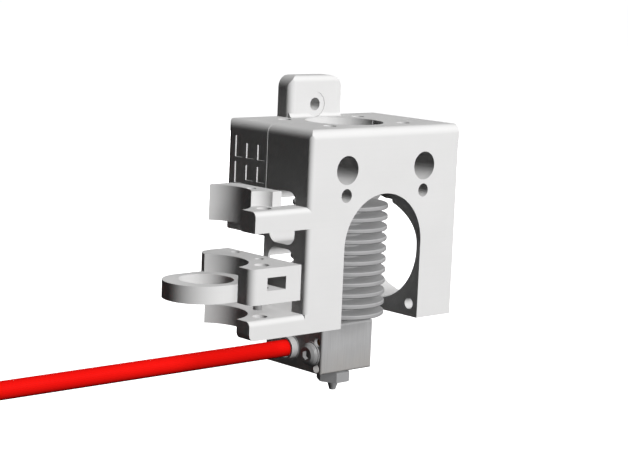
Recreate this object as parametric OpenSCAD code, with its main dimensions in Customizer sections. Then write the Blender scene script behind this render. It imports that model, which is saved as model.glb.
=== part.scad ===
/* [Holder] */
// Width of the holder across the fan direction
holder_w = 46; // [44:0.5:50]
// Height of the holder
holder_h = 45; // [44:0.5:48]
// Depth of each printed half
half_d = 14.5; // [14.5:0.5:16]
// Radius of the outer rounded edges
edge_r = 2; // [1:0.5:3]
// Gap left between the two halves so that they can clamp
seam_gap = 0.1; // [0.1:0.1:0.4]
// Radius of the front half's upright left edge
side_r = 1; // [0.6:0.1:1.6]
// Width of the arch in the front and back
arch_w = 24; // [23.5:0.5:25]
// Height of the straight sides of the arch
arch_side = 18; // [16:0.5:18]
// Height of the left side of the rear half above the holder's bottom
rear_step = 19.4; // [19.2:0.2:20]
// Thickness of the rear half's left wall beside the air passage
wall = 3.2; // [3:0.1:3.6]

/* [Vents] */
// Front edge of the vents behind the front face
vent_front = 4.2; // [4:0.1:5]
// Length of the vents from front to back
vent_len = 8.6; // [7:0.1:8.8]
// Thickness of the rib between the two vents
vent_rib = 1; // [0.8:0.1:1.6]
// Height of the rib above the bottom
vent_rib_z = 18; // [16:0.5:18]

/* [Fan side] */
// Radius of the round fan opening
fan_r = 13.6; // [13:0.1:13.6]
// Height of the opening's centre above the bottom
fan_open_z = 16.2; // [15.5:0.1:16.2]
// Height of the fan's screw pattern above the bottom
fan_z = 15; // [14.8:0.1:15.2]
// Distance between the fan's screw holes
fan_pitch = 24; // [24:0.1:24.2]

/* [Holes] */
// Distance between the two large front holes, and between the two small ones
front_pitch = 24; // [24:0.2:25]
// Radius of the large front holes that sink the clamp screws
sink_r = 3.25; // [3.25:0.05:3.4]
// Height of the large front holes
sink_z = 35.8; // [35.6:0.1:36]
// Radius of the small front holes and the top holes
small_r = 1.55; // [1.4:0.05:1.6]
// Height of the small front holes
small_z = 30.1; // [30:0.1:30.4]
// Sideways distance between the top holes
top_pitch_x = 23; // [22:0.5:24]
// Front to back distance between the top holes
top_pitch_y = 15.4; // [14:0.2:16]
// Radius of the round opening in the top
top_hole_r = 9.1; // [8.6:0.1:9.3]

/* [Tab] */
// Width of the tab on the rear half
tab_w = 15.9; // [12:0.5:18]
// Thickness of the tab
tab_t = 4.3; // [3.5:0.1:4.8]
// Height of the tab above the holder's top
tab_h = 9.7; // [8:0.1:12]

/* [Arms and probe carrier] */
// Reach of the arms from the holder's left face
arm_len = 15.2; // [15:0.1:16]
// Height of the lower arm
low_arm_h = 4.3; // [4:0.1:5]
// Height of the upper arm's underside above the holder's bottom
up_arm_z = 23.4; // [23:0.1:24]
// Thickness of the upper arm's front bar
bar_h = 4.7; // [4:0.1:5]
// Height of the block behind the bar
block_h = 8; // [7:0.1:9]
// Height of the carrier's underside above the holder's bottom
carrier_z = 7.8; // [7.6:0.1:8.2]
// Height of the carrier
carrier_h = 7.9; // [7:0.1:8]
// Length of the carrier from front to back
carrier_d = 25; // [24:0.1:26]
// Thickness of the ring plate that holds the probe
ring_h = 3.9; // [3.5:0.1:4.4]
// Radius of the hole for the probe
probe_r = 6.1; // [6:0.05:6.3]
// Radius of the round cuts that clear the probe's nut
probe_clear_r = 9.2; // [8.8:0.1:9.4]
// Radius of the guide pins
pin_r = 1; // [1:0.1:1.1]

/* [Hotend] */
// Radius of the cooling fins
fin_r = 11.15; // [10:0.05:11.4]
// Number of cooling fins
fin_n = 11; // [11:1:11]
// Distance from one fin to the next
fin_pitch = 2.5; // [2.5:0.1:2.5]
// Thickness of a fin
fin_t = 1; // [0.8:0.1:1.2]
// Width of the heater block
block_w = 16; // [15.5:0.5:16.5]
// Length of the heater block
block_l = 20; // [20:0.5:23]
// Height of the heater block
block_t = 11.5; // [11.5:0.1:12]
// Distance from the nozzle's axis to the block's front face
block_front = 4.5; // [4.3:0.1:5]
// Size of the nozzle's hexagon across its flats
hex_af = 7; // [6:0.5:7]

/* [Heater lead] */
// Diameter of the heater lead's sleeve
lead_d = 4; // [3:0.1:4.2]

/* [Hidden] */
$fn = 64;
eps = 0.01;

// Colours of the printed plastic, the metals and the lead
printed = [0.90, 0.90, 0.90];
alu = [0.70, 0.70, 0.71];
steel = [0.55, 0.55, 0.57];

// The origin is on the filament's axis at the holder's top face
bottom = -holder_h;
left = -holder_w / 2;
right = holder_w / 2;
front = -half_d;
face = front - 0.3;
back = half_d;
arch_r = arch_w / 2;

// Vertical places of the hotend, measured up from the holder's bottom
sink_bottom = 0.3;
fins_top = sink_bottom + (fin_n - 1) * fin_pitch + fin_t;
neck_ring = fins_top + 1.5;
flange_low = neck_ring + 2.5;
groove = flange_low + 3;
flange_top = groove + 6;
sink_top = flange_top + 3.7;
insert_floor = sink_top - 6.5;
block_top = sink_bottom - 2.1;
block_bottom = block_top - block_t;
tube_stop = sink_bottom + 2.7;
heater_y = 6.4;
heater_z = block_bottom + 4.6;
sensor_y = -0.8;
sensor_z = block_bottom + 4.3;

// Centre of the probe and of the guide pins, in plan
probe_at = [left - 17.2, front + 13.3];
pins_at = [[left - 5, front + 10], [left - 4, front + 19.6]];
big_hole_at = [left - 9.6, front + 3.7];

// Route of the heater lead: straight out of the cartridge
lead_from = [-block_w / 2 - 1.3, heater_y, bottom + heater_z];
lead_to = [lead_from[0] - 84, heater_y, bottom + heater_z];

// Everything below is drawn upward from the holder's bottom
module from_bottom(z = 0) { translate([0, 0, bottom + z]) children(); }

// A cylinder along X or along Y
module bar_x(r, l) { rotate([0, 90, 0]) cylinder(r = r, h = l); }
module bar_y(r, l) { rotate([-90, 0, 0]) cylinder(r = r, h = l); }

// A rectangle from its two corners with four rounded corners
module round_rect(a, b, r) {
    translate([a[0] + r, a[1]]) square([b[0] - a[0] - 2 * r, b[1] - a[1]]);
    translate([a[0], a[1] + r]) square([b[0] - a[0], b[1] - a[1] - 2 * r]);
    for (x = [a[0] + r, b[0] - r], y = [a[1] + r, b[1] - r]) translate([x, y]) circle(r);
}

// What one rounded edge leaves over, for cutting: at the origin, in the +x +y quarter
module edge_cut(r, l) {
    difference() {
        translate([-eps, -eps, 0]) cube([r + eps, r + eps, l]);
        translate([r, r, -1]) cylinder(r = r, h = l + 2);
    }
}

// Copies for the two sides
module both_sides() { for (s = [-1, 1]) translate([s * front_pitch / 2, 0, 0]) children(); }

// The air channel, chamber and groove seat that both halves share
module hotend_space() {
    translate([-arch_r, front - 1, -1]) cube([arch_w, 2 * half_d + 2, arch_side + 1]);
    translate([0, front - 1, arch_side]) bar_y(arch_r, 2 * half_d + 2);
    translate([0, 0, -1]) cylinder(r = arch_r, h = fins_top + 2.3);
    translate([0, 0, fins_top]) cylinder(r = 8.3, h = groove + 0.1 - fins_top);
    translate([0, 0, fins_top]) cylinder(r = 6.05, h = 20);
    translate([0, 0, flange_top - 0.1]) cylinder(r = 8.15, h = 6);
    translate([0, 0, sink_top - 0.8]) cylinder(r = top_hole_r, h = 4);
}

// The way from the vents to the back, past the heatsink: it widens inward from the left face
module air_passage() {
    for (low_high = [[low_arm_h, vent_rib_z - 2.4], [vent_rib_z + vent_rib + 2.4, 28.5]])
        translate([0, 0, low_high[0]]) linear_extrude(low_high[1] - low_high[0]) polygon([
            [left + 0.6, front + vent_front + vent_len], [left + wall, 3], [left + wall, back + 1],
            [-8, back + 1], [-8, front + vent_front + vent_len]]);
}

// The fan's opening and its four screw holes, through the right wall
module fan_holes() {
    translate([2, 0, fan_open_z]) bar_x(fan_r, holder_w);
    for (y = [-1, 1], z = [-1, 1])
        translate([arch_r - 1, y * fan_pitch / 2, fan_z + z * fan_pitch / 2]) bar_x(1.3, holder_w);
}

// Small blind holes in the top
module top_holes() {
    for (x = [-1, 1], y = [-1, 1])
        translate([x * top_pitch_x / 2, y * top_pitch_y / 2, holder_h - 4.5])
            cylinder(r = small_r, h = 6);
}

// Two rounded vents from the left face through to the heatsink's chamber
module vents() {
    low = [front + vent_front, low_arm_h];
    translate([left - 1, 0, 0]) rotate([90, 0, 90]) linear_extrude(13.5) {
        round_rect(low, [low[0] + vent_len, vent_rib_z], 2.4);
        translate(low) square([vent_len, 5]);
        round_rect([low[0], vent_rib_z + vent_rib], [low[0] + vent_len, 30.9], 2.4);
    }
}

// Outline of the upper arm's block seen from above
module upper_block_plan() {
    difference() {
        union() {
            round_rect([left - 12.6, front + 4.7], [left - 3.8, front + 20.8], 2.6);
            translate([left - 12.6, front + 4.7]) square([8.8, 8]);
        }
        translate(probe_at) circle(probe_clear_r);
        translate(big_hole_at) circle(3.4);
    }
}

// The arm that the carrier hangs under: a front bar and a taller block behind it
module upper_arm() {
    translate([0, 0, up_arm_z]) difference() {
        union() {
            translate([left - arm_len, face, 0]) cube([arm_len + 1, 5.7, bar_h]);
            linear_extrude(block_h) upper_block_plan();
            linear_extrude(bar_h) difference() {
                translate([left - 14, front + 4]) square([10.2, 8]);
                translate(probe_at) circle(probe_clear_r);
            }
        }
        translate([left - 14, front + 5.4, 0]) rotate([-90, -90, 0]) edge_cut(1.4, 30);
        translate([left - arm_len - 1, face, bar_h]) rotate([0, 90, 0])
            edge_cut(1.2, arm_len + 3);
        translate([probe_at[0], probe_at[1], -1]) cylinder(r = probe_clear_r, h = 12);
        translate([big_hole_at[0], big_hole_at[1], -1]) cylinder(r = 1.7, h = 12);
        translate([left - 7, front + 11.2, 4]) cylinder(r = 1.1, h = 12);
    }
}

// The arm under the carrier, level with the holder's bottom
module lower_arm() {
    difference() {
        union() {
            translate([left - arm_len - 0.6, face, 0]) cube([arm_len + 1.6, 14.7, low_arm_h]);
            linear_extrude(low_arm_h)
                round_rect([left - 12.4, front + 8], [left - 0.8, front + 21], 2);
        }
        translate([left - arm_len - 1, face, low_arm_h]) rotate([0, 90, 0])
            edge_cut(1.2, arm_len + 1);
        translate([left - arm_len - 0.6, face - 1, 0]) rotate([-90, -90, 0])
            edge_cut(1.6, 30);
        translate([probe_at[0], probe_at[1], -1]) cylinder(r = probe_clear_r + 0.2, h = 12);
        translate([big_hole_at[0], big_hole_at[1], -1]) cylinder(r = 1.7, h = 12);
        for (p = pins_at) translate([p[0], p[1], -1]) cylinder(r = pin_r, h = 12);
    }
}

module front_body() {
    color(printed) from_bottom() {
        difference() {
            translate([left, face, 0]) cube([holder_w, -face - seam_gap / 2, holder_h]);
            // Rounded edges: front left, top left and top front
            translate([left, face, -1]) edge_cut(side_r, holder_h + 2);
            translate([left, front - 1, holder_h]) rotate([-90, 0, 0])
                edge_cut(edge_r, half_d + 2);
            translate([left - 1, face, holder_h]) rotate([0, 90, 0])
                edge_cut(edge_r, holder_w + 2);
            hotend_space();
            air_passage();
            vents();
            fan_holes();
            top_holes();
            both_sides() {
                translate([0, front - 1, sink_z]) bar_y(sink_r, 12.5);
                translate([0, front - 1, sink_z]) bar_y(1.65, 20);
                translate([0, front - 1, small_z]) bar_y(small_r, 9);
            }
        }
        upper_arm();
        lower_arm();
    }
}

module rear_clamp() {
    color(printed) from_bottom() difference() {
        union() {
            difference() {
                translate([left, seam_gap / 2, rear_step])
                    cube([holder_w, half_d - seam_gap / 2, holder_h - rear_step]);
                // Rounded edges: back left, top left and bottom left
                translate([left, back, rear_step - 1]) rotate([0, 0, -90])
                    edge_cut(edge_r, holder_h);
                translate([left, -1, holder_h]) rotate([-90, 0, 0])
                    edge_cut(edge_r, half_d + 2);
                translate([left, half_d + 1, rear_step]) rotate([90, 0, 0])
                    edge_cut(edge_r, half_d + 2);
            }
            translate([arch_r, seam_gap / 2, 0])
                cube([right - arch_r, half_d - seam_gap / 2, rear_step + 1]);
            tab();
        }
        hotend_space();
        air_passage();
        fan_holes();
        top_holes();
        both_sides() {
            translate([0, -1, sink_z]) bar_y(1.65, 20);
            translate([0, 9.8, sink_z]) rotate([-90, 30, 0])
                cylinder(r = 5.6 / 2 / cos(30), h = 8, $fn = 6);
        }
        side_pockets();
        translate([0, 9, holder_h + 3]) bar_y(1.5, 8);
        translate([0, 9, holder_h + 3]) bar_y(2.9, back - tab_t + 0.15 - 9);
    }
}

// The standing tab with a rounded front edge and a small cove at its foot
module tab() {
    y0 = back - tab_t;
    difference() {
        translate([0, back, holder_h - 1]) rotate([90, 0, 0]) linear_extrude(tab_t) {
            translate([-tab_w / 2, 0]) square([tab_w, tab_h - 2]);
            round_rect([-tab_w / 2, 0], [tab_w / 2, tab_h + 1], 2.8);
        }
        translate([-tab_w / 2, y0, holder_h]) edge_cut(1.4, tab_h + 1);
        translate([-tab_w, y0, holder_h + tab_h]) rotate([0, 90, 0]) edge_cut(1.4, 2 * tab_w);
    }
    difference() {
        translate([-tab_w / 2, y0 - 1, holder_h - 1]) cube([tab_w, 1.5, 2]);
        translate([-tab_w, y0 - 1, holder_h + 1]) bar_x(1, 2 * tab_w);
    }
}

// Shallow rectangular pockets that decorate the rear half's left face
module side_pockets() {
    depth = 0.35;
    for (col = [0:2], row = [0:1])
        translate([left - 1, front + 15.3 + 3.9 * col, 31.6 + 5 * row - (col == 2 ? 0.9 * (1 - row) : 0)])
            cube([1 + depth, 2.6, (col == 2 ? 4.8 : 3.4)]);
}

// Outline of the carrier's block seen from above
module carrier_plan() {
    difference() {
        union() {
            round_rect([left - 15.7, face], [left - 1.6, front + 10], 1.7);
            round_rect([left - 11.9, front + 4], [left - 1.6, front + carrier_d], 5);
            translate([left - 7, face]) square([5.4, carrier_d + 0.3]);
        }
        translate(probe_at) circle(probe_clear_r);
    }
}

// Carrier for a threaded probe: a guided block and a ring plate level with its underside
module probe_carrier() {
    color(printed) from_bottom(carrier_z) difference() {
        union() {
            linear_extrude(carrier_h) carrier_plan();
            linear_extrude(ring_h) {
                translate(probe_at - [1.8, 0]) circle(8.2);
                translate(probe_at - [1.8, 8.2]) square([12, 16.4]);
            }
        }
        translate([probe_at[0], probe_at[1], -1]) cylinder(r = probe_r, h = 12);
        translate([big_hole_at[0], big_hole_at[1], -1]) cylinder(r = 1.7, h = 12);
        for (p = pins_at) translate([p[0], p[1], -1]) cylinder(r = pin_r + 0.06, h = 12);
        // Slot that takes a nut from the front
        translate([left - 11.2, front - 1, 2.9]) cube([5.3, 8, 2.9]);
    }
}

module guide_pins() {
    color(steel) for (p = pins_at) translate([p[0], p[1], bottom + 0.2])
        rotate_extrude() polygon([[0, 0], [pin_r - 0.2, 0], [pin_r, 0.2], [pin_r, 15],
                                  [pin_r - 0.2, 15.2], [0, 15.2]]);
}

// A socket head screw along +y with its head's underside at the origin
module socket_screw(l) {
    difference() {
        union() {
            rotate([90, 0, 0]) cylinder(r = 2.75, h = 3);
            translate([0, -0.1, 0]) bar_y(1.5, l + 0.1);
        }
        translate([0, -4, 0]) rotate([-90, 0, 0]) cylinder(r = 2.5 / 2 / cos(30), h = 2.6, $fn = 6);
    }
}

module clamp_screws() {
    color(steel) from_bottom(sink_z) both_sides() translate([0, -3.5, 0]) socket_screw(16);
}

module clamp_washers() {
    color(alu) from_bottom(sink_z) both_sides() translate([0, -3.5, 0]) difference() {
        bar_y(3.1, 0.5);
        translate([0, -1, 0]) bar_y(1.6, 3);
    }
}

module clamp_nuts() {
    color(steel) from_bottom(sink_z) both_sides() translate([0, 9.8, 0]) difference() {
        rotate([-90, 30, 0]) cylinder(r = 5.5 / 2 / cos(30), h = 2.4, $fn = 6);
        translate([0, -1, 0]) bar_y(1.5, 4);
    }
}

// Turned heatsink: fins, neck ring and groove mount, bored for the tube and heat break
module heatsink() {
    neck = 4.9;
    color(alu) from_bottom() difference() {
        rotate_extrude() union() {
            for (i = [0:fin_n - 1]) translate([0, sink_bottom + i * fin_pitch])
                polygon([[0, 0], [fin_r - 0.2, 0], [fin_r, 0.2], [fin_r, fin_t - 0.2],
                         [fin_r - 0.2, fin_t], [0, fin_t]]);
            translate([0, sink_bottom]) square([neck, flange_low - sink_bottom + 1]);
            translate([0, neck_ring]) square([8, 1]);
            translate([0, flange_low]) square([8, 3]);
            translate([0, flange_low]) square([6, flange_top - flange_low + 1]);
            translate([0, flange_top]) polygon([[0, 0], [8, 0], [8, 3.3], [7.6, 3.7], [0, 3.7]]);
        }
        translate([0, 0, sink_bottom - 1]) cylinder(r = 3.5, h = 11);
        translate([0, 0, sink_bottom]) cylinder(r = 2.1, h = 50);
        translate([0, 0, insert_floor]) cylinder(r = 4.2, h = 20);
    }
}

// Metal insert pressed into the heatsink's top, with the seat of the tube collet
module collet_insert() {
    color([0.80, 0.68, 0.38]) from_bottom(insert_floor) difference() {
        cylinder(r = 4.2, h = 5.7);
        translate([0, 0, -1]) cylinder(r = 3.05, h = 12);
    }
}

// Push-fit collet: four spring fingers under a flange that a fingertip presses
module tube_collet() {
    color([0.12, 0.12, 0.13]) from_bottom(insert_floor) difference() {
        rotate_extrude() polygon([[2.05, 1.2], [2.95, 1.2], [3, 1.4], [3, 6.4], [3.9, 6.4],
                                  [3.9, 6.95], [3.7, 7.1], [2.25, 7.1], [2.05, 6.9]]);
        for (a = [0, 90]) rotate(a) translate([-5, -0.3, 0]) cube([10, 0.6, 4]);
    }
}

module ptfe_liner() {
    color([0.95, 0.95, 0.93]) from_bottom(tube_stop) difference() {
        cylinder(r = 2, h = 31);
        translate([0, 0, -1]) cylinder(r = 1, h = 40);
    }
}

// Threaded tube with a thin neck between the cold heatsink and the hot block
module heat_break() {
    color(steel) from_bottom() difference() {
        union() {
            translate([0, 0, sink_bottom]) cylinder(r = 3.5, h = 9.8);
            translate([0, 0, block_top - 1]) cylinder(r = 1.5, h = 4);
            translate([0, 0, block_top - 5]) cylinder(r = 3, h = 5);
        }
        translate([0, 0, block_top - 10]) cylinder(r = 1, h = 40);
        translate([0, 0, tube_stop - 0.1]) cylinder(r = 2.05, h = 40);
    }
}

module heater_block() {
    x0 = -block_w / 2;
    y1 = block_l - block_front;
    color(alu) from_bottom(block_bottom) difference() {
        intersection() {
            linear_extrude(block_t) round_rect([x0, -block_front], [-x0, y1], 0.5);
            translate([x0, 0, 0]) rotate([90, 0, 90]) linear_extrude(block_w)
                round_rect([-block_front, 0], [y1, block_t], 0.5);
        }
        translate([0, 0, -1]) cylinder(r = 3, h = 20);
        translate([x0 - 1, heater_y, 4.6]) bar_x(3.03, block_w + 2);
        translate([0, heater_y, 4.6]) bar_y(1.5, 20);
        translate([x0 - 1, sensor_y, 4.3]) bar_x(1.5, 5.2);
        for (z = [-3.1, 3.1]) translate([x0 - 1, sensor_y - 2, 4.3 + z]) bar_x(1, 6.4);
    }
}

module nozzle() {
    hex_z = block_bottom - 0.5;
    color(steel) from_bottom() difference() {
        union() {
            translate([0, 0, hex_z - 1]) cylinder(r = 3, h = block_top - 5.05 - hex_z + 1);
            intersection() {
                translate([0, 0, hex_z - 2.4]) cylinder(r = hex_af / 2 / cos(30), h = 2.4, $fn = 6);
                translate([0, 0, hex_z - 2.4]) rotate_extrude()
                    polygon([[0, 0], [3.8, 0], [4.1, 0.15], [4.1, 2.4], [0, 2.4]]);
            }
            translate([0, 0, hex_z - 4.7]) cylinder(r1 = 0.75, r2 = 1.5, h = 2.4);
        }
        translate([0, 0, hex_z - 3]) cylinder(r = 1, h = 20);
        translate([0, 0, hex_z - 6]) cylinder(r = 0.2, h = 20);
    }
}

// Heater cartridge with a raised rim round its end
module heater_cartridge() {
    color([0.86, 0.86, 0.86]) from_bottom(heater_z) translate([-block_w / 2 - 1.2, heater_y, 0])
        rotate([0, 90, 0]) difference() {
            union() {
                translate([0, 0, 1.1]) cylinder(r = 3, h = 18.9);
                translate([0, 0, -0.7]) cylinder(r = 2.75, h = 2);
            }
            translate([0, 0, -1]) cylinder(r = 2.2, h = 1.6);
        }
}

// Grub screw that holds the cartridge from behind
module cartridge_screw() {
    color(steel) from_bottom(heater_z) translate([0, heater_y + 3.02, 0]) difference() {
        bar_y(1.5, 6);
        translate([0, 4, 0]) rotate([-90, 0, 0]) cylinder(r = 1.5 / 2 / cos(30), h = 3, $fn = 6);
    }
}

module thermistor_bead() {
    color([0.75, 0.45, 0.25]) from_bottom(sensor_z + 3.1)
        translate([-block_w / 2 + 0.8, sensor_y - 2, 0]) bar_x(0.95, 4.4);
}

// Button head screw in the block's left face
module thermistor_screw() {
    color([0.75, 0.75, 0.76]) from_bottom(sensor_z) translate([-block_w / 2 - 0.3, sensor_y, 0])
        rotate([0, -90, 0]) difference() {
            rotate_extrude() polygon([[0, -3.9], [1.5, -3.9], [1.5, 0], [2.75, 0], [2.75, 0.25],
                                      [2.45, 0.8], [1.85, 1.35], [0, 1.35]]);
            translate([0, 0, 0.3]) cylinder(r = 2 / 2 / cos(30), h = 3, $fn = 6);
        }
}

module thermistor_washer() {
    color([0.80, 0.80, 0.81]) from_bottom(sensor_z) translate([-block_w / 2 - 0.3, sensor_y, 0])
        difference() {
            bar_x(3, 0.3);
            translate([-1, 0, 0]) bar_x(1.6, 3);
        }
}

module heater_lead() {
    color([0.98, 0.06, 0.05]) translate(lead_to) bar_x(lead_d / 2, lead_from[0] - lead_to[0] + 0.7);
}

// Two-way plug at the lead's far end
module lead_connector() {
    color([0.93, 0.93, 0.90]) translate(lead_to) difference() {
        translate([-14, -4, -2.9]) cube([14, 8, 5.8]);
        for (y = [-1.9, 1.9]) {
            translate([-15, y - 1, -1]) cube([9, 2, 2]);
            translate([-7, y - 0.4, -0.4]) cube([3, 0.8, 0.8]);
        }
        translate([-11, -5, 2.2]) cube([7, 2.5, 2]);
    }
}

module connector_pins() {
    color([0.85, 0.70, 0.35]) translate(lead_to)
        for (y = [-1.9, 1.9]) translate([-12, y - 0.4, -0.4]) cube([8, 0.8, 0.8]);
}

front_body();
rear_clamp();
probe_carrier();
guide_pins();
clamp_screws();
clamp_washers();
clamp_nuts();
heatsink();
collet_insert();
tube_collet();
ptfe_liner();
heat_break();
heater_block();
nozzle();
heater_cartridge();
cartridge_screw();
thermistor_bead();
thermistor_screw();
thermistor_washer();
heater_lead();
lead_connector();
connector_pins();
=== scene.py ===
"""Looks of the hotend assembly around its fixed CAD frame.

Camera, heater lead, finishes, floor and lights, in that order. Lengths are metres,
in the CAD frame: the origin is on the filament's axis at the holder's top face, the
front looks along -Y and the heater lead leaves along -X.
"""

import math

import bmesh
import bpy
from mathutils import Matrix, Vector


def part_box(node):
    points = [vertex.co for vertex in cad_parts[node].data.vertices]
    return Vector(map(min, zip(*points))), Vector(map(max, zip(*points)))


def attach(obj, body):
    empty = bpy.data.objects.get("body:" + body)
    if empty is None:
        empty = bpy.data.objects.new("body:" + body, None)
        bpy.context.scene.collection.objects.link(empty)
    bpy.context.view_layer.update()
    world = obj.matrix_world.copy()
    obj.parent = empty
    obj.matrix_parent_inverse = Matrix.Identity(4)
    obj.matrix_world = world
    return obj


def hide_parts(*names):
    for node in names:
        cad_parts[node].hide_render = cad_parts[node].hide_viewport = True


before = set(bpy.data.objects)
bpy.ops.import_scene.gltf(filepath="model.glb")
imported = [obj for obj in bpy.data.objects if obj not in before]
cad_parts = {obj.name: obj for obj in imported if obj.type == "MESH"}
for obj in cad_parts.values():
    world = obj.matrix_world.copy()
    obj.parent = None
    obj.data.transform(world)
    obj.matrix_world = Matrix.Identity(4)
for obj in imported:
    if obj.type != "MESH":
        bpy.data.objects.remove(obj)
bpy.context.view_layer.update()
scene = bpy.context.scene

MM = 0.001
PLAIN_WHITE = (1, 1, 1, 1)


def link(name, data):
    """A new object that holds the data, in the scene."""
    made = bpy.data.objects.new(name, data)
    scene.collection.objects.link(made)
    return made


# ---------------------------------------------------------------- camera
CAMERA_AT = Vector((-0.28348, -0.30447, 0.03818))
CAMERA_LOOKS = Vector((0.66296, 0.73240, -0.15516)).normalized()
CAMERA_ROLL = math.radians(2.43)
CAMERA_LENS = 103.5
SENSOR_WIDTH = 36
NEAREST, FURTHEST = 0.01, 60

camera = link("camera", bpy.data.cameras.new("camera"))
camera.data.sensor_width = SENSOR_WIDTH
camera.data.lens = CAMERA_LENS
camera.data.clip_start, camera.data.clip_end = NEAREST, FURTHEST
level = CAMERA_LOOKS.cross(Vector((0, 0, 1))).normalized()
upright = level.cross(CAMERA_LOOKS)
cam_right = level * math.cos(CAMERA_ROLL) + upright * math.sin(CAMERA_ROLL)
cam_up = upright * math.cos(CAMERA_ROLL) - level * math.sin(CAMERA_ROLL)
turned = Matrix((cam_right, cam_up, -CAMERA_LOOKS)).transposed().to_4x4()
camera.matrix_world = Matrix.Translation(CAMERA_AT) @ turned
scene.camera = camera


# ---------------------------------------------------------------- materials
class Finish:
    """One procedural material, built node by node. Its lengths are metres in the CAD frame."""

    def __init__(self, name, metallic=0.0, **sockets):
        self.made = bpy.data.materials.new(name)
        self.made.use_nodes = True
        self.tree = self.made.node_tree
        self.shader = self.tree.nodes["Principled BSDF"]
        self.shader.inputs["Metallic"].default_value = metallic
        for socket, value in sockets.items():
            self.shader.inputs[socket.replace("_", " ")].default_value = value
        self.at = self.tree.nodes.new("ShaderNodeTexCoord").outputs["Object"]
        self.normal = None

    def node(self, kind, outlet=0, inlets=(), **settings):
        """The outlet of a new node. An inlet takes a number, a tuple or another node's outlet."""
        made = self.tree.nodes.new("ShaderNode" + kind)
        for key, value in settings.items():
            setattr(made, key, value)
        for key, value in dict(inlets).items():
            if isinstance(value, bpy.types.NodeSocket):
                self.tree.links.new(value, made.inputs[key])
            else:
                made.inputs[key].default_value = value
        return made.outputs[outlet]

    def math(self, operation, *values):
        """One arithmetic step."""
        return self.node("Math", inlets=enumerate(values), operation=operation)

    def times(self, value, factor):
        """A value scaled by a number or by another value."""
        return self.math("MULTIPLY", value, factor)

    def blend(self, factor, first, second):
        """A number between two numbers."""
        return self.node("Mix", 0, {0: factor, 2: first, 3: second}, data_type="FLOAT")

    def facing_up(self):
        """1 on level faces, up or down, and 0 on walls."""
        return self.math("ABSOLUTE", self.part("Z", self.node("NewGeometry", "Normal")))

    def part(self, axis, vector=None):
        """One coordinate of a point."""
        return self.node("SeparateXYZ", "XYZ".index(axis), {0: vector or self.at})

    def stretched(self, scale, vector=None):
        """The point with each coordinate scaled."""
        return self.node(
            "VectorMath", inlets={0: vector or self.at, 1: scale}, operation="MULTIPLY"
        )

    def noise(self, size, detail=2.0, along=(1, 1, 1), seed=0.0, vector=None):
        """Noise from 0 to 1 with features of that size, drawn out where along is below 1."""
        return self.node(
            "TexNoise",
            inlets={
                "Vector": self.stretched(along, vector),
                "W": seed,
                "Scale": 1 / size,
                "Detail": detail,
            },
            noise_dimensions="4D",
        )

    def band(self, value, low, high, to_low=0.0, to_high=1.0):
        """Value taken from one range to another, clamped."""
        return self.node(
            "MapRange", inlets={0: value, 1: low, 2: high, 3: to_low, 4: to_high}, clamp=True
        )

    def wave(self, value, period):
        """A sine of the value, from -1 to 1."""
        return self.math("SINE", self.times(value, 2 * math.pi / period))

    def speckle(self, size, low, high, detail=2.0, seed=0.0):
        """Patches from 0 to 1: the middle of a noise, sharpened."""
        return self.band(self.noise(size, detail, seed=seed), low, high)

    def mix(self, factor, first, second):
        """A colour between two colours."""
        return self.node("Mix", 2, {0: factor, 6: first, 7: second}, data_type="RGBA")

    def edges(self, radius):
        """1 on edges, where wear shows first on most finishes and where moulded plastic gets a
        painted highlight, and 0 on open faces.
        """
        soft = self.node("Bevel", inlets={"Radius": radius}, samples=6)
        flat = self.node("NewGeometry", "Normal")
        same = self.node("VectorMath", "Value", {0: soft, 1: flat}, operation="DOT_PRODUCT")
        return self.band(same, 0.995, 0.80)

    def bump(self, height, depth, strength=1.0):
        """Relief on top of what there is; depth is metres for a height of 1."""
        inlets = {"Height": height, "Distance": depth, "Strength": strength}
        if self.normal is not None:
            inlets["Normal"] = self.normal
        self.normal = self.node("Bump", inlets=inlets)
        self.set("Normal", self.normal)

    def set(self, socket, value):
        """Feeds one of the shader's sockets."""
        self.tree.links.new(value, self.shader.inputs[socket])


def grey(value, warm=0.0):
    """A grey, with its red raised and its blue lowered by the fraction warm."""
    return (value * (1 + warm), value, value * (1 - warm), 1)


def shade(colour, factor):
    """The colour made lighter or darker, as a node's input."""
    return (*(min(1.0, c * factor) for c in colour), 1)


def printed_plastic():
    """Light satin filament: faint layers in the walls, faint strands on level faces."""
    m = Finish("printed", IOR=1.46, Specular_IOR_Level=0.35)
    wall = m.band(m.facing_up(), 0.97, 0.80)
    fine_layers = m.noise(0.45 * MM, 1, (0.02, 0.02, 1))
    broad_layers = m.noise(2.6 * MM, 1, (0.03, 0.03, 1), 4)
    layers = m.math("ADD", m.times(fine_layers, 0.8), m.times(broad_layers, 0.5))
    diagonal = m.node(
        "VectorRotate", inlets={"Vector": m.at, "Angle": math.pi / 4}, rotation_type="Z_AXIS"
    )
    strands = m.noise(0.5 * MM, 1, (1, 0.03, 0.2), 7, diagonal)
    relief = m.blend(wall, strands, layers)
    clouds = m.noise(9 * MM, 3, seed=2)
    worn = m.times(m.edges(0.35 * MM), m.speckle(1.6 * MM, 0.35, 0.7, 3, seed=9))
    base = m.mix(clouds, grey(0.80, 0.004), grey(0.86, 0.004))
    base = m.mix(m.band(relief, 0.2, 1.1, 0, 0.35), base, grey(0.78, 0.004))
    m.set("Base Color", m.mix(m.times(worn, 0.5), base, grey(0.93, 0.002)))
    rough = m.band(clouds, 0.3, 0.7, 0.46, 0.60)
    m.set("Roughness", m.math("SUBTRACT", rough, m.times(worn, 0.14)))
    m.bump(relief, 0.012 * MM, 0.6)
    m.bump(m.noise(0.35 * MM, 2, seed=5), 0.004 * MM, 0.5)
    return m.made


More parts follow.
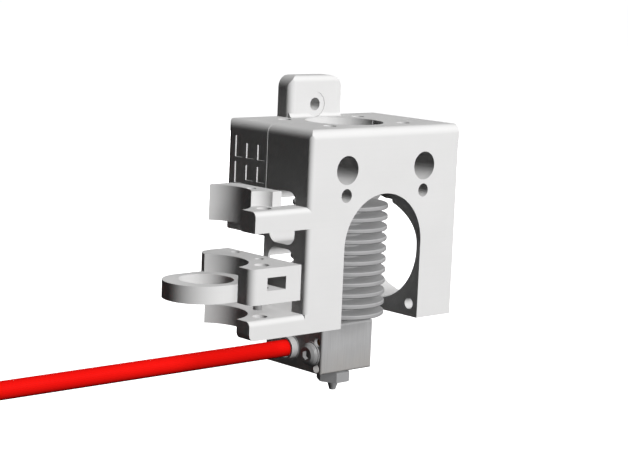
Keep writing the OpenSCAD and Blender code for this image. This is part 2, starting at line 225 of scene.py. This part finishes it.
def turned_metal(name, colour, rough, period, depth, metallic=0.45):
    """Lathe marks: rings on faces square to the filament's axis, fine lines round the sides."""
    m = Finish(name, metallic=metallic)
    radius = m.node("VectorMath", "Value", {0: m.stretched((1, 1, 0))}, operation="LENGTH")
    travel = m.blend(m.band(m.facing_up(), 0.6, 0.9), m.part("Z"), radius)
    wander = m.times(m.noise(1.3 * MM, 2), 0.25 * period)
    marks = m.wave(m.math("ADD", travel, wander), period)
    coarse = m.wave(travel, 3.7 * period)
    clouds = m.noise(4 * MM, 3, seed=3)
    worn = m.times(m.edges(0.18 * MM), m.speckle(0.9 * MM, 0.3, 0.7, seed=6))
    bright = shade(colour, 1.18)
    base = m.mix(clouds, shade(colour, 0.86), shade(colour, 1))
    base = m.mix(m.band(marks, -1, 1, 0, 0.25), base, bright)
    m.set("Base Color", m.mix(m.times(worn, 0.6), base, bright))
    cloudy = m.band(clouds, 0.3, 0.7, rough - 0.05, rough + 0.07)
    m.set("Roughness", m.math("ADD", cloudy, m.times(marks, 0.03)))
    m.bump(m.math("ADD", marks, m.times(coarse, 0.6)), depth, 0.7)
    return m.made


def milled_metal(name, colour, rough, metallic=0.4, heat=None):
    """Cutter marks that run up the faces, small pits and brighter worn edges.

    Between the two heights in heat, the metal turns tan downwards.
    """
    m = Finish(name, metallic=metallic)
    marks = m.noise(0.35 * MM, 3, (1, 1, 0.04))
    arcs = m.noise(0.9 * MM, 2, (0.08, 1, 0.6), 5)
    clouds = m.noise(5 * MM, 3, seed=8)
    uneven = m.math("ADD", marks, clouds)
    cells = m.node("TexVoronoi", inlets={"Vector": m.at, "Scale": 1 / (1.1 * MM)})
    worn = m.times(m.edges(0.22 * MM), m.speckle(1.0 * MM, 0.3, 0.65, seed=1))
    base = m.mix(m.band(uneven, 0.7, 1.3), shade(colour, 0.85), shade(colour, 1))
    if heat is not None:
        tint = m.times(m.band(m.part("Z"), *heat), m.band(clouds, 0.3, 0.7, 0.1, 0.45))
        tan = (colour[0] * 0.72, colour[1] * 0.62, colour[2] * 0.5, 1)
        base = m.mix(tint, base, tan)
    m.set("Base Color", m.mix(m.times(worn, 0.65), base, shade(colour, 1.2)))
    m.set("Roughness", m.band(uneven, 0.6, 1.4, rough - 0.07, rough + 0.08))
    m.bump(m.math("ADD", marks, m.times(arcs, 0.7)), 0.010 * MM, 0.6)
    m.bump(m.band(cells, 0.05, 0.16), 0.012 * MM, 0.4)
    return m.made


def moulded_plastic(name, colour, rough, grain=0.25 * MM, **sockets):
    """Moulded surface with a fine grain, slight clouds and a painted highlight: edges made lighter.
    """
    m = Finish(name, **sockets)
    clouds = m.noise(3 * MM, 3, seed=2)
    # A lighter copy of the colour, mixed onto the edges as a painted highlight
    painted_edge_highlight = shade([c + 0.018 for c in colour], 1.1)
    base = m.mix(clouds, shade(colour, 0.88), shade(colour, 1))
    m.set("Base Color", m.mix(m.times(m.edges(0.2 * MM), 0.4), base, painted_edge_highlight))
    m.set("Roughness", m.band(clouds, 0.3, 0.7, rough - 0.05, rough + 0.08))
    m.bump(m.noise(grain, 3), 0.004 * MM, 0.6)
    return m.made


def braided_sleeve(centre, strands=16, pitch=5 * MM):
    """Red varnished braid: two families of strands that wind round an X axis through centre."""
    m = Finish("red_sleeve", IOR=1.45, Specular_IOR_Level=0.12)
    y = m.math("SUBTRACT", m.part("Y"), centre.y)
    z = m.math("SUBTRACT", m.part("Z"), centre.z)
    angle = m.times(m.math("ARCTAN2", z, y), strands / 2)
    run = m.times(m.part("X"), math.pi * strands / pitch)
    families = [
        m.math("ABSOLUTE", m.math("SINE", m.math(turn, angle, run))) for turn in ("ADD", "SUBTRACT")
    ]
    weave = m.math("MAXIMUM", *families)
    clouds = m.noise(6 * MM, 3, (0.4, 1, 1))
    base = m.mix(clouds, (0.92, 0.006, 0.005, 1), (0.99, 0.010, 0.006, 1))
    between = m.band(weave, 0.95, 0.45, 0, 0.55)
    m.set("Base Color", m.mix(between, base, (0.55, 0.002, 0.002, 1)))
    m.set("Roughness", m.band(clouds, 0.3, 0.7, 0.40, 0.55))
    m.bump(weave, 0.05 * MM, 0.35)
    m.bump(m.noise(0.3 * MM, 2, (0.3, 1, 1)), 0.01 * MM, 0.4)
    return m.made


# ---------------------------------------------------------------- heater lead
LEAD_DIAMETER = 4.0 * MM
LEAD_POINTS = 25
LEAD_SIDES = 48

# The lead is held taut: straight from the heater cartridge to the connector
lead_low, lead_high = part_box("heater_lead")
lead_centre = (lead_low + lead_high) / 2
LEAD_LENGTH = lead_high.x - lead_low.x
LEAD_EXIT = Vector((lead_high.x, lead_centre.y, lead_centre.z))
LEAD_STEP = Vector((-LEAD_LENGTH / (LEAD_POINTS - 1), 0, 0))


def tube_along_x(name, path, diameter, sides):
    """A closed round tube round points that lie along the X axis."""
    tube = bmesh.new()
    turns = [2 * math.pi * i / sides for i in range(sides)]
    spokes = [Vector((0, math.cos(turn), math.sin(turn))) * diameter / 2 for turn in turns]
    rings = [[tube.verts.new(point + spoke) for spoke in spokes] for point in path]
    for ring, following in zip(rings, rings[1:]):
        for i in range(sides):
            j = (i + 1) % sides
            tube.faces.new((ring[i], ring[j], following[j], following[i])).smooth = True
    tube.faces.new(rings[0])
    tube.faces.new(reversed(rings[-1]))
    bmesh.ops.recalc_face_normals(tube, faces=tube.faces)
    mesh = bpy.data.meshes.new(name)
    tube.to_mesh(mesh)
    tube.free()
    return link(name, mesh)


lead_path = [LEAD_EXIT + LEAD_STEP * i for i in range(LEAD_POINTS)]
heater_sleeve = tube_along_x("heater_sleeve", lead_path, LEAD_DIAMETER, LEAD_SIDES)
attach(heater_sleeve, "holder")
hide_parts("heater_lead")

# ---------------------------------------------------------------- finishes on the CAD nodes
ALUMINIUM = (0.78, 0.78, 0.785)
STEEL = (0.70, 0.70, 0.71)
BRIGHT_STEEL = (0.72, 0.72, 0.72)
PALE_STEEL = (0.86, 0.86, 0.86)
BLACK_STEEL = (0.13, 0.13, 0.135)
BRASS = (0.72, 0.52, 0.20)
BLACK = (0.03, 0.03, 0.032)
PTFE = (0.90, 0.90, 0.87)
AMBER = (0.50, 0.22, 0.09)
NYLON = (0.86, 0.85, 0.80)

# The block is tanned at its bottom edge, less and less up to this height above it
TAN_HEIGHT = 6.3 * MM
block_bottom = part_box("heater_block")[0].z
tanned = (block_bottom + TAN_HEIGHT, block_bottom - 0.2 * MM)

guide_steel = turned_metal("guide_steel", BRIGHT_STEEL, 0.30, 0.16 * MM, 0.003 * MM)
bright_steel = milled_metal("bright_steel", BRIGHT_STEEL, 0.34, metallic=0.5)
dark_steel = milled_metal("dark_steel", BLACK_STEEL, 0.42, metallic=0.8)
brass = turned_metal("insert_brass", BRASS, 0.34, 0.2 * MM, 0.004 * MM, metallic=0.9)

# Each finish, with the nodes that wear it
FINISHES = (
    (printed_plastic(), ("front_body", "rear_clamp", "probe_carrier")),
    (turned_metal("turned_aluminium", ALUMINIUM, 0.42, 0.22 * MM, 0.006 * MM), ("heatsink",)),
    (turned_metal("nozzle_steel", STEEL, 0.36, 0.18 * MM, 0.004 * MM), ("nozzle",)),
    (milled_metal("block_aluminium", ALUMINIUM, 0.46, heat=tanned), ("heater_block",)),
    (milled_metal("cartridge_steel", PALE_STEEL, 0.38, metallic=0.35), ("heater_cartridge",)),
    (guide_steel, ("guide_pins", "heat_break")),
    (dark_steel, ("clamp_screws", "cartridge_screw")),
    (bright_steel, ("clamp_washers", "clamp_nuts", "thermistor_screw", "thermistor_washer")),
    (brass, ("collet_insert", "connector_pins")),
    (moulded_plastic("black_plastic", BLACK, 0.38), ("tube_collet",)),
    (moulded_plastic("liner", PTFE, 0.30, Subsurface_Weight=0.05), ("ptfe_liner",)),
    (moulded_plastic("bead", AMBER, 0.28, 0.15 * MM), ("thermistor_bead",)),
    (moulded_plastic("connector_plastic", NYLON, 0.36), ("lead_connector",)),
)


def put_on(node, finish):
    """Gives the finish to a CAD node, through the object and not its mesh."""
    if not node.material_slots:
        node.data.materials.append(finish)
    for slot in node.material_slots:
        slot.link = "OBJECT"
        slot.material = finish


for finish, names in FINISHES:
    for name in names:
        put_on(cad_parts[name], finish)
heater_sleeve.data.materials.append(braided_sleeve(LEAD_EXIT))

# ---------------------------------------------------------------- floor
FLOOR_Z = -0.165
FLOOR_HALF = 10.0
FLOOR_SEGMENTS = 8
FLOOR_GLOW = 1.0

floor_mesh = bmesh.new()
bmesh.ops.create_grid(
    floor_mesh, x_segments=FLOOR_SEGMENTS, y_segments=FLOOR_SEGMENTS, size=FLOOR_HALF
)
floor_data = bpy.data.meshes.new("floor")
floor_mesh.to_mesh(floor_data)
floor_mesh.free()
floor = link("floor", floor_data)
floor.location.z = FLOOR_Z
floor.visible_diffuse = floor.visible_glossy = False

paper = Finish("floor_paper", Roughness=0.9)
paper.set("Base Color", paper.mix(paper.noise(0.4, 2), grey(0.90), grey(0.93)))
paper.shader.inputs["Emission Color"].default_value = PLAIN_WHITE
paper.shader.inputs["Emission Strength"].default_value = FLOOR_GLOW
floor_data.materials.append(paper.made)

# ---------------------------------------------------------------- light
AIM = Vector((-0.005, 0.0, -0.03))
LAMP_DISTANCE = 1.6
FROM_FRONT = Vector((0.06, -0.83, 0.56))
FROM_BACK = Vector((0.75, 0.8, 0.10))
KEY_SIZE, KEY_POWER, KEY_OPEN_POWER = 0.5, 5, 24.5
BACK_SIZE, BACK_POWER = 0.8, 17
AMBIENT = 0.02


def soft_box(name, towards, size, power):
    """A square lamp that shines at the object from the given direction."""
    lamp = link(name, bpy.data.lights.new(name, "AREA"))
    lamp.data.shape = "SQUARE"
    lamp.data.size = size
    lamp.data.energy = power
    away = towards.normalized()
    lamp.location = AIM + away * LAMP_DISTANCE
    lamp.rotation_mode = "QUATERNION"
    lamp.rotation_quaternion = away.to_track_quat("Z", "Y")
    return lamp


# The key gives shadows and shine, and the open key only even light without shadows
soft_box("key", FROM_FRONT, KEY_SIZE, KEY_POWER)
key_open = soft_box("key_open", FROM_FRONT, KEY_SIZE, KEY_OPEN_POWER)
key_open.data.use_shadow = False
key_open.data.cycles.max_bounces = 0
key_open.visible_glossy = False
back = soft_box("back", FROM_BACK, BACK_SIZE, BACK_POWER)
back.visible_glossy = back.visible_camera = False

# White to the camera, and faint to everything else
world = bpy.data.worlds.new("surround")
scene.world = world
world.use_nodes = True
sky = world.node_tree
backdrop = sky.nodes["Background"]
backdrop.inputs["Color"].default_value = PLAIN_WHITE
seen = sky.nodes.new("ShaderNodeLightPath").outputs["Is Camera Ray"]
strength = sky.nodes.new("ShaderNodeMapRange")
strength.inputs["To Min"].default_value = AMBIENT
sky.links.new(seen, strength.inputs["Value"])
sky.links.new(strength.outputs[0], backdrop.inputs["Strength"])
scene.view_settings.view_transform = "Standard"

# ---------------------------------------------------------------- scene update
bpy.context.view_layer.update()
